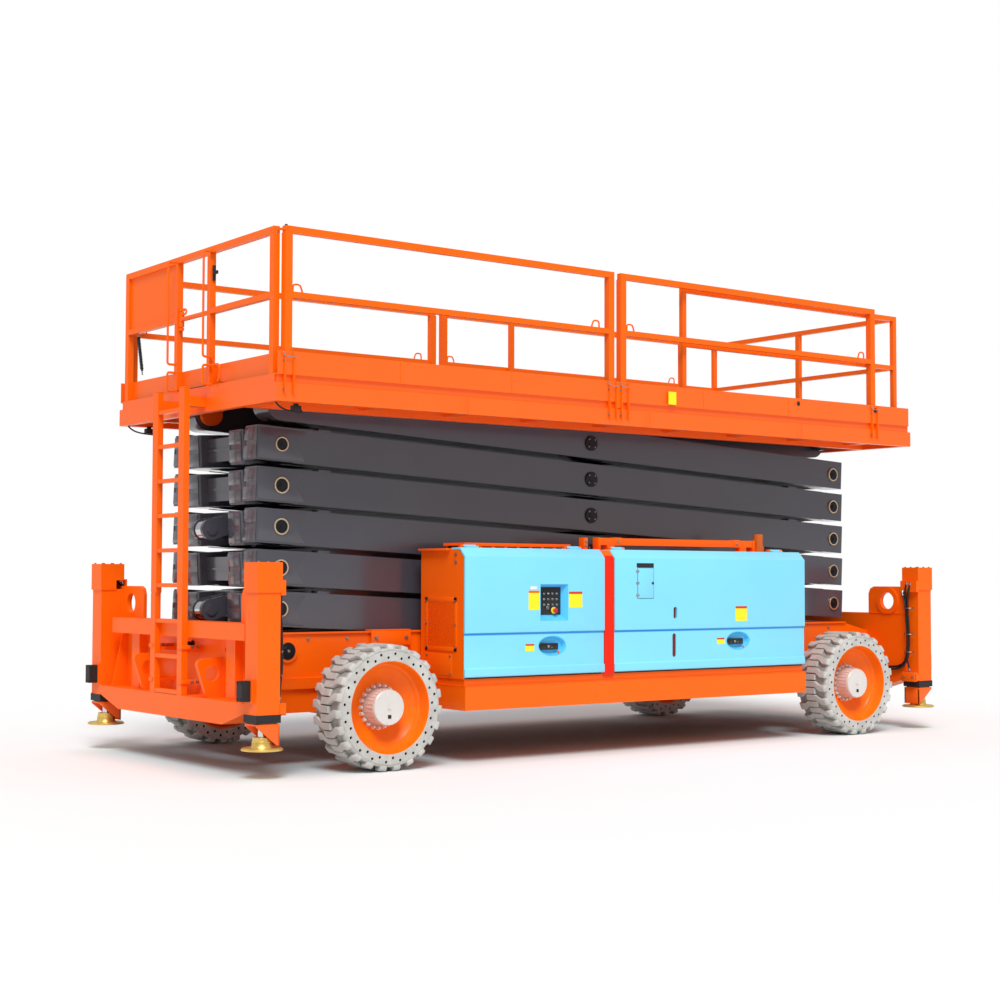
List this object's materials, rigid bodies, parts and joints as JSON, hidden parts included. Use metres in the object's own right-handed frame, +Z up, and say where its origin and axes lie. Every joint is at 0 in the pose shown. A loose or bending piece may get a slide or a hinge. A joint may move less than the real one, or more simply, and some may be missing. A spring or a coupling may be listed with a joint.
{
  "type": "scissor lift",
  "caption": "Rough-terrain scissor lift: steered wheeled chassis, outriggers, side cabinets, lifting arm stack and a railed platform with a sliding extension.",
  "frame": {"origin": "on the ground below the middle of the machine", "axes": "+Z up, -X towards the ladder end, -Y the left side"},
  "size_m": [7.516, 3.0098, 4.0049],
  "materials": {
    "orange_paint": "satin",
    "grey_paint": "satin",
    "blue_paint": "satin",
    "dark_paint": "satin",
    "tyre_rubber": "matte",
    "black_rubber": "matte",
    "chrome": "polished",
    "zinc_plate": "satin",
    "amber_lens": "glossy"
  },
  "bodies": {
    "chassis": {"chassis_frame": "orange_paint", "end_frame_front": "orange_paint", "end_frame_rear": "orange_paint", "wear_rings": "black_rubber", "bumper_pads": "black_rubber", "axle_front": "dark_paint", "axle_rear": "dark_paint", "cabinet_left": "orange_paint", "cabinet_right": "orange_paint", "roof_fittings": "orange_paint", "beacon": "amber_lens", "control_box": "black_rubber", "engine_block": "dark_paint", "chassis_ladder": "orange_paint"},
    "inner_1": {"inner_arms_1": "grey_paint"},
    "outer_1": {"outer_arms_1": "grey_paint"},
    "inner_2": {"inner_arms_2": "grey_paint"},
    "outer_2": {"outer_arms_2": "grey_paint"},
    "inner_3": {"inner_arms_3": "grey_paint"},
    "outer_3": {"outer_arms_3": "grey_paint"},
    "inner_4": {"inner_arms_4": "grey_paint"},
    "outer_4": {"outer_arms_4": "grey_paint"},
    "inner_5": {"inner_arms_5": "grey_paint"},
    "outer_5": {"outer_arms_5": "grey_paint"},
    "inner_6": {"inner_arms_6": "grey_paint"},
    "outer_6": {"outer_arms_6": "grey_paint"},
    "platform": {"platform_deck": "orange_paint", "guardrails": "orange_paint", "platform_ladder": "orange_paint"},
    "extension": {"extension_floor": "orange_paint", "extension_rails": "orange_paint"},
    "gate": {"gate_bar": "orange_paint"},
    "lower_barrel": {"lower_cylinder_barrel": "dark_paint"},
    "lower_rod": {"lower_cylinder_rod": "chrome"},
    "upper_barrel": {"upper_cylinder_barrel": "dark_paint"},
    "upper_rod": {"upper_cylinder_rod": "chrome"},
    "tie_rod_front": {"tie_rod_front": "dark_paint"},
    "knuckle_front_left": {"knuckle_front_left": "dark_paint"},
    "wheel_front_left": {"rim_front_left": "orange_paint", "tyre_front_left": "tyre_rubber"},
    "knuckle_front_right": {"knuckle_front_right": "dark_paint"},
    "wheel_front_right": {"rim_front_right": "orange_paint", "tyre_front_right": "tyre_rubber"},
    "tie_rod_rear": {"tie_rod_rear": "dark_paint"},
    "knuckle_rear_left": {"knuckle_rear_left": "dark_paint"},
    "wheel_rear_left": {"rim_rear_left": "orange_paint", "tyre_rear_left": "tyre_rubber"},
    "knuckle_rear_right": {"knuckle_rear_right": "dark_paint"},
    "wheel_rear_right": {"rim_rear_right": "orange_paint", "tyre_rear_right": "tyre_rubber"},
    "outrigger_front_left": {"outrigger_leg_front_left": "zinc_plate"},
    "outrigger_front_right": {"outrigger_leg_front_right": "zinc_plate"},
    "outrigger_rear_left": {"outrigger_leg_rear_left": "zinc_plate"},
    "outrigger_rear_right": {"outrigger_leg_rear_right": "zinc_plate"},
    "door_front_left": {"door_front_left": "blue_paint"},
    "door_front_right": {"door_front_right": "blue_paint"},
    "door_rear_left": {"door_rear_left": "blue_paint"},
    "door_rear_right": {"door_rear_right": "blue_paint"}
  },
  "joints": [
    {"name": "lift", "type": "hinge", "parent": "chassis", "child": "inner_1", "pos_m": [-3.085, 0, 0.88], "axis": [0, -1, 0], "range_deg": [0, 63.2]},
    {"name": "centre_pin_1", "type": "hinge", "parent": "inner_1", "child": "outer_1", "pos_m": [0, 0, 1.03775], "axis": [0, -1, 0], "range_deg": [-127.5, 127.5]},
    {"name": "front_pin_1", "type": "hinge", "parent": "outer_1", "child": "inner_2", "pos_m": [-3.085, 0, 1.1955], "axis": [0, -1, 0], "range_deg": [-127.5, 127.5]},
    {"name": "centre_pin_2", "type": "hinge", "parent": "inner_2", "child": "outer_2", "pos_m": [0, 0, 1.35325], "axis": [0, -1, 0], "range_deg": [-127.5, 127.5]},
    {"name": "front_pin_2", "type": "hinge", "parent": "outer_2", "child": "inner_3", "pos_m": [-3.085, 0, 1.511], "axis": [0, -1, 0], "range_deg": [-127.5, 127.5]},
    {"name": "centre_pin_3", "type": "hinge", "parent": "inner_3", "child": "outer_3", "pos_m": [0, 0, 1.66875], "axis": [0, -1, 0], "range_deg": [-127.5, 127.5]},
    {"name": "front_pin_3", "type": "hinge", "parent": "outer_3", "child": "inner_4", "pos_m": [-3.085, 0, 1.8265], "axis": [0, -1, 0], "range_deg": [-127.5, 127.5]},
    {"name": "centre_pin_4", "type": "hinge", "parent": "inner_4", "child": "outer_4", "pos_m": [0, 0, 1.98425], "axis": [0, -1, 0], "range_deg": [-127.5, 127.5]},
    {"name": "front_pin_4", "type": "hinge", "parent": "outer_4", "child": "inner_5", "pos_m": [-3.085, 0, 2.142], "axis": [0, -1, 0], "range_deg": [-127.5, 127.5]},
    {"name": "centre_pin_5", "type": "hinge", "parent": "inner_5", "child": "outer_5", "pos_m": [0, 0, 2.29975], "axis": [0, -1, 0], "range_deg": [-127.5, 127.5]},
    {"name": "front_pin_5", "type": "hinge", "parent": "outer_5", "child": "inner_6", "pos_m": [-3.085, 0, 2.4575], "axis": [0, -1, 0], "range_deg": [-127.5, 127.5]},
    {"name": "centre_pin_6", "type": "hinge", "parent": "inner_6", "child": "outer_6", "pos_m": [0, 0, 2.61525], "axis": [0, -1, 0], "range_deg": [-127.5, 127.5]},
    {"name": "platform_pin", "type": "hinge", "parent": "outer_6", "child": "platform", "pos_m": [-3.085, 0, 2.773], "axis": [0, -1, 0], "range_deg": [-64.3, 64.3]},
    {"name": "lower_cylinder_pivot", "type": "hinge", "parent": "inner_1", "child": "lower_barrel", "pos_m": [-0.788, 0, 0.99746], "axis": [0, -1, 0], "range_deg": [-133.5, 0]},
    {"name": "lower_cylinder_stroke", "type": "slide", "parent": "lower_barrel", "child": "lower_rod", "axis": [-0.9974, 0, 0.0718], "range_m": [0, 0.8999]},
    {"name": "upper_cylinder_pivot", "type": "hinge", "parent": "inner_3", "child": "upper_barrel", "pos_m": [-0.788, 0, 1.62846], "axis": [0, -1, 0], "range_deg": [-133.5, 0]},
    {"name": "upper_cylinder_stroke", "type": "slide", "parent": "upper_barrel", "child": "upper_rod", "axis": [-0.9974, 0, 0.0718], "range_m": [0, 0.8999]},
    {"name": "deck_extend", "type": "slide", "parent": "platform", "child": "extension", "axis": [1, 0, 0], "range_m": [0, 2]},
    {"name": "gate_swing", "type": "hinge", "parent": "platform", "child": "gate", "pos_m": [-3.455, 0.261, 3.5], "axis": [0, 0, 1], "range_deg": [0, 85]},
    {"name": "tie_rod_front_slide", "type": "slide", "parent": "chassis", "child": "tie_rod_front", "axis": [0, 1, 0], "range_m": [-0.1, 0.1]},
    {"name": "steer_front", "type": "hinge", "parent": "chassis", "child": "knuckle_front_left", "pos_m": [-2.578, -1.058, 0.472], "axis": [0, 0, 1], "range_deg": [-25, 25]},
    {"name": "wheel_front_left_spin", "type": "hinge", "parent": "knuckle_front_left", "child": "wheel_front_left", "pos_m": [-2.578, -1.31, 0.472], "axis": [0, 1, 0], "continuous": true},
    {"name": "steer_front_right", "type": "hinge", "parent": "chassis", "child": "knuckle_front_right", "pos_m": [-2.578, 1.058, 0.472], "axis": [0, 0, 1], "range_deg": [-25, 25]},
    {"name": "wheel_front_right_spin", "type": "hinge", "parent": "knuckle_front_right", "child": "wheel_front_right", "pos_m": [-2.578, 1.31, 0.472], "axis": [0, 1, 0], "continuous": true},
    {"name": "tie_rod_rear_slide", "type": "slide", "parent": "chassis", "child": "tie_rod_rear", "axis": [0, 1, 0], "range_m": [-0.1, 0.1]},
    {"name": "steer_rear", "type": "hinge", "parent": "chassis", "child": "knuckle_rear_left", "pos_m": [2.578, -1.058, 0.472], "axis": [0, 0, 1], "range_deg": [-25, 25]},
    {"name": "wheel_rear_left_spin", "type": "hinge", "parent": "knuckle_rear_left", "child": "wheel_rear_left", "pos_m": [2.578, -1.31, 0.472], "axis": [0, 1, 0], "continuous": true},
    {"name": "steer_rear_right", "type": "hinge", "parent": "chassis", "child": "knuckle_rear_right", "pos_m": [2.578, 1.058, 0.472], "axis": [0, 0, 1], "range_deg": [-25, 25]},
    {"name": "wheel_rear_right_spin", "type": "hinge", "parent": "knuckle_rear_right", "child": "wheel_rear_right", "pos_m": [2.578, 1.31, 0.472], "axis": [0, 1, 0], "continuous": true},
    {"name": "outrigger_front_left_slide", "type": "slide", "parent": "chassis", "child": "outrigger_front_left", "axis": [0, 0, -1], "range_m": [0, 0.42]},
    {"name": "outrigger_front_right_slide", "type": "slide", "parent": "chassis", "child": "outrigger_front_right", "axis": [0, 0, -1], "range_m": [0, 0.42]},
    {"name": "outrigger_rear_left_slide", "type": "slide", "parent": "chassis", "child": "outrigger_rear_left", "axis": [0, 0, -1], "range_m": [0, 0.42]},
    {"name": "outrigger_rear_right_slide", "type": "slide", "parent": "chassis", "child": "outrigger_rear_right", "axis": [0, 0, -1], "range_m": [0, 0.42]},
    {"name": "door_front_left_hinge", "type": "hinge", "parent": "chassis", "child": "door_front_left", "pos_m": [0, -1.262, 1.684], "axis": [-1, 0, 0], "range_deg": [0, 80]},
    {"name": "door_front_right_hinge", "type": "hinge", "parent": "chassis", "child": "door_front_right", "pos_m": [0, 1.262, 1.684], "axis": [1, 0, 0], "range_deg": [0, 80]},
    {"name": "door_rear_left_hinge", "type": "hinge", "parent": "chassis", "child": "door_rear_left", "pos_m": [0, -1.262, 1.684], "axis": [-1, 0, 0], "range_deg": [0, 80]},
    {"name": "door_rear_right_hinge", "type": "hinge", "parent": "chassis", "child": "door_rear_right", "pos_m": [0, 1.262, 1.684], "axis": [1, 0, 0], "range_deg": [0, 80]}
  ],
  "couplings": [
    {"joint": "centre_pin_1", "follows": "lift", "ratio": -2},
    {"joint": "front_pin_1", "follows": "lift", "ratio": 2},
    {"joint": "centre_pin_2", "follows": "lift", "ratio": -2},
    {"joint": "front_pin_2", "follows": "lift", "ratio": 2},
    {"joint": "centre_pin_3", "follows": "lift", "ratio": -2},
    {"joint": "front_pin_3", "follows": "lift", "ratio": 2},
    {"joint": "centre_pin_4", "follows": "lift", "ratio": -2},
    {"joint": "front_pin_4", "follows": "lift", "ratio": 2},
    {"joint": "centre_pin_5", "follows": "lift", "ratio": -2},
    {"joint": "front_pin_5", "follows": "lift", "ratio": 2},
    {"joint": "centre_pin_6", "follows": "lift", "ratio": -2},
    {"joint": "platform_pin", "follows": "lift", "ratio": 1},
    {"joint": "lower_cylinder_pivot", "follows": "lift", "ratio": -2.0829},
    {"joint": "lower_cylinder_stroke", "follows": "lift", "m_per_rad": 0.8113},
    {"joint": "upper_cylinder_pivot", "follows": "lift", "ratio": -2.0829},
    {"joint": "upper_cylinder_stroke", "follows": "lift", "m_per_rad": 0.8113},
    {"joint": "steer_front_right", "follows": "steer_front", "ratio": 1},
    {"joint": "tie_rod_front_slide", "follows": "steer_front", "m_per_rad": 0.19371},
    {"joint": "steer_rear_right", "follows": "steer_rear", "ratio": 1},
    {"joint": "tie_rod_rear_slide", "follows": "steer_rear", "m_per_rad": -0.19371}
  ]
}
